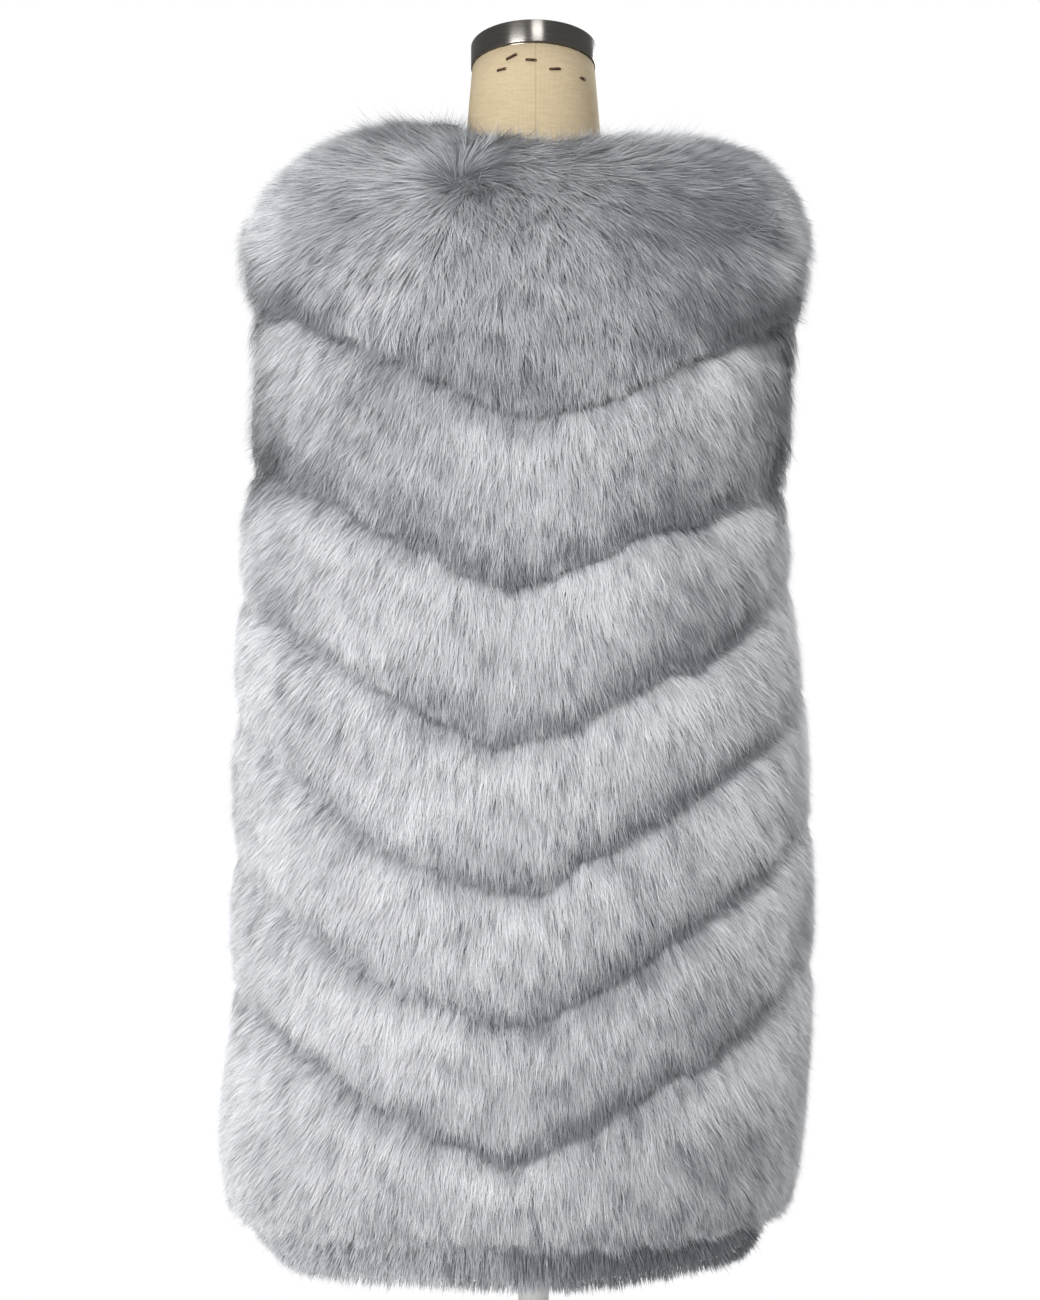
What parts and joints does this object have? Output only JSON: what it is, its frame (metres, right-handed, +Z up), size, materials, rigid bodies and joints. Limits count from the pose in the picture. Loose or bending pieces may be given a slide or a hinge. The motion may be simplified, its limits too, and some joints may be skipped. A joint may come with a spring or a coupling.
{
  "type": "faux-fur gilet on a dress form",
  "caption": "Long collarless open-front gilet of deep-pile silver-grey faux fur in chevron strips, standing on a limbless dress form with a linen neck, a steel neck cap and a round base.",
  "frame": {"origin": "centre of the base's underside, on the floor, on the dress form's axis", "axes": "+Z up along the form's neck and pole; the gilet's open front faces -Y and its back faces +Y, which is the side in the picture; +X is the left side as seen from the back"},
  "size_m": [0.541, 0.44, 1.512],
  "materials": {
    "fur": "long silver-grey faux fur, dark at the roots",
    "linen": "plain undyed linen, stretched and seamed",
    "steel": "turned steel with a soft brushed rim",
    "enamel": "pale satin enamel"
  },
  "bodies": {
    "root": {"back_yoke": "fur", "back_strip_1": "fur", "back_strip_2": "fur", "back_strip_3": "fur", "back_strip_4": "fur", "back_strip_5": "fur", "back_strip_6": "fur", "back_hem_strip": "fur", "front_left_yoke": "fur", "front_left_strip_1": "fur", "front_left_strip_2": "fur", "front_left_strip_3": "fur", "front_left_strip_4": "fur", "front_left_strip_5": "fur", "front_left_strip_6": "fur", "front_left_hem_strip": "fur", "front_right_yoke": "fur", "front_right_strip_1": "fur", "front_right_strip_2": "fur", "front_right_strip_3": "fur", "front_right_strip_4": "fur", "front_right_strip_5": "fur", "front_right_strip_6": "fur", "front_right_hem_strip": "fur", "form_body": "linen", "neck_cap": "steel", "stand_pole": "enamel", "stand_base": "enamel"}
  },
  "joints": []
}
